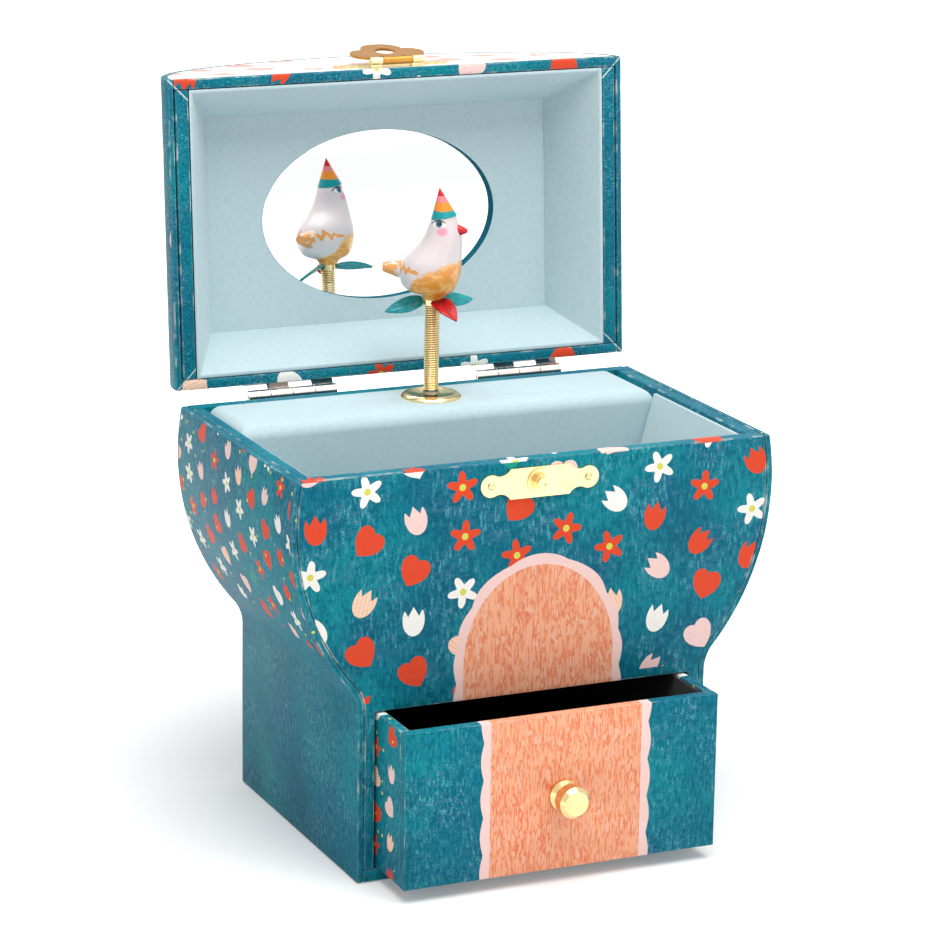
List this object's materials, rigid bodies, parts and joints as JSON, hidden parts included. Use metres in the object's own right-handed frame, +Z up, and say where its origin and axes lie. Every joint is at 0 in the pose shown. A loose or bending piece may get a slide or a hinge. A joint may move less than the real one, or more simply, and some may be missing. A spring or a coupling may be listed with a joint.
{
  "type": "musical jewellery box",
  "caption": "Flared keepsake box with an arched mirror lid, a lined tray, a pull-out drawer and a wind-up musical movement that turns a bird figure on a spring post.",
  "frame": {"origin": "middle of the base's underside, on the surface it stands on", "axes": "+Z up, the drawer and the clasp face -Y, +X to the right seen from the front"},
  "size_m": [0.1628, 0.1923, 0.2381],
  "materials": {
    "printed_card": "printed paper over board, matt",
    "blank_board": "bare greyboard",
    "flocked_lining": "short flock",
    "drawer_black": "short flock",
    "gilt_brass": "polished",
    "movement_brass": "satin",
    "nickel": "polished",
    "steel": "ground",
    "mirror_glass": "silvered",
    "bird_white": "painted resin",
    "beak_red": "painted resin",
    "hat_bands": "painted resin in bands",
    "leaf_paint": "painted resin"
  },
  "bodies": {
    "case": {"base_board": "printed_card", "right_side_card": "printed_card", "left_side_card": "printed_card", "front_panel": "printed_card", "back_panel": "printed_card", "drawer_guides": "blank_board", "drawer_bay_shelf": "blank_board", "right_tray_wall": "printed_card", "left_tray_wall": "printed_card", "floor_lining": "flocked_lining", "front_lining": "flocked_lining", "left_lining": "flocked_lining", "right_lining": "flocked_lining", "deck_cover": "flocked_lining", "deck_bezel": "gilt_brass", "case_hinge_leaves": "nickel", "hinge_pins": "nickel", "strike_plate": "gilt_brass", "strike_stud": "gilt_brass", "bedplate": "movement_brass", "movement_screws": "steel", "barrel_bridge": "movement_brass", "cylinder_brackets": "movement_brass", "tuned_comb": "steel", "comb_base": "movement_brass", "comb_screws": "steel", "governor_frame": "movement_brass"},
    "drawer": {"drawer_front": "printed_card", "drawer_sides": "printed_card", "drawer_back": "printed_card", "drawer_bottom": "printed_card", "drawer_lining": "drawer_black", "drawer_knob": "gilt_brass"},
    "lid": {"lid_front_panel": "printed_card", "lid_back_panel": "printed_card", "lid_arch_card": "printed_card", "lid_end_rails": "printed_card", "lid_liner": "flocked_lining", "lid_ceiling": "flocked_lining", "mirror": "mirror_glass", "lid_hinge_leaves": "nickel", "hasp_mount": "gilt_brass"},
    "hasp": {"hasp": "gilt_brass"},
    "barrel": {"crown_wheel": "movement_brass", "barrel_drum": "movement_brass", "mainspring": "steel"},
    "key": {"winding_arbor": "steel", "winding_key": "steel"},
    "cylinder": {"cylinder_shaft": "steel", "cylinder_pinion": "movement_brass", "tune_cylinder": "movement_brass", "cylinder_gear": "movement_brass"},
    "governor": {"governor_staff": "movement_brass"},
    "fan": {"fan_worm": "steel"},
    "stalk": {"spring_post": "gilt_brass"},
    "figure": {"figure_collar": "gilt_brass", "leaf_ruff": "leaf_paint", "bird_body": "bird_white", "bird_beak": "beak_red", "party_hat": "hat_bands"}
  },
  "joints": [
    {"name": "lid_hinge", "type": "hinge", "parent": "case", "child": "lid", "pos_m": [0, 0.0536, 0.1302], "axis": [1, 0, 0], "range_deg": [0, 94]},
    {"name": "hasp_swing", "type": "hinge", "parent": "lid", "child": "hasp", "pos_m": [0, 0.06378, 0.23565], "axis": [1, 0, 0], "range_deg": [0, 170]},
    {"name": "drawer_slide", "type": "slide", "parent": "case", "child": "drawer", "axis": [0, -1, 0], "range_m": [-0.0214, 0.045]},
    {"name": "barrel_spin", "type": "hinge", "parent": "case", "child": "barrel", "pos_m": [0, 0.033, 0.079], "axis": [0, 1, 0], "continuous": true},
    {"name": "key_wind", "type": "hinge", "parent": "case", "child": "key", "pos_m": [0, 0.05, 0.079], "axis": [0, 1, 0], "continuous": true},
    {"name": "cylinder_spin", "type": "hinge", "parent": "case", "child": "cylinder", "pos_m": [0, 0.033, 0.1], "axis": [0, 0, 1], "continuous": true},
    {"name": "governor_spin", "type": "hinge", "parent": "case", "child": "governor", "pos_m": [-0.01, 0.033, 0.12], "axis": [0, 0, 1], "continuous": true},
    {"name": "fan_spin", "type": "hinge", "parent": "case", "child": "fan", "pos_m": [-0.0153, 0.033, 0.12255], "axis": [0, 1, 0], "continuous": true},
    {"name": "figure_bend", "type": "hinge", "parent": "case", "child": "stalk", "pos_m": [0, 0.033, 0.1347], "axis": [1, 0, 0], "range_deg": [0, 98], "deforming": ["spring_post"]},
    {"name": "figure_spin", "type": "hinge", "parent": "stalk", "child": "figure", "pos_m": [0, 0.033, 0.165], "axis": [0, 0, 1], "continuous": true}
  ],
  "couplings": [
    {"joint": "cylinder_spin", "follows": "figure_spin", "ratio": 1},
    {"joint": "barrel_spin", "follows": "figure_spin", "ratio": -0.25},
    {"joint": "governor_spin", "follows": "figure_spin", "ratio": -3},
    {"joint": "fan_spin", "follows": "figure_spin", "ratio": -36},
    {"joint": "figure_bend", "follows": "lid_hinge", "ratio": 1.0426}
  ]
}
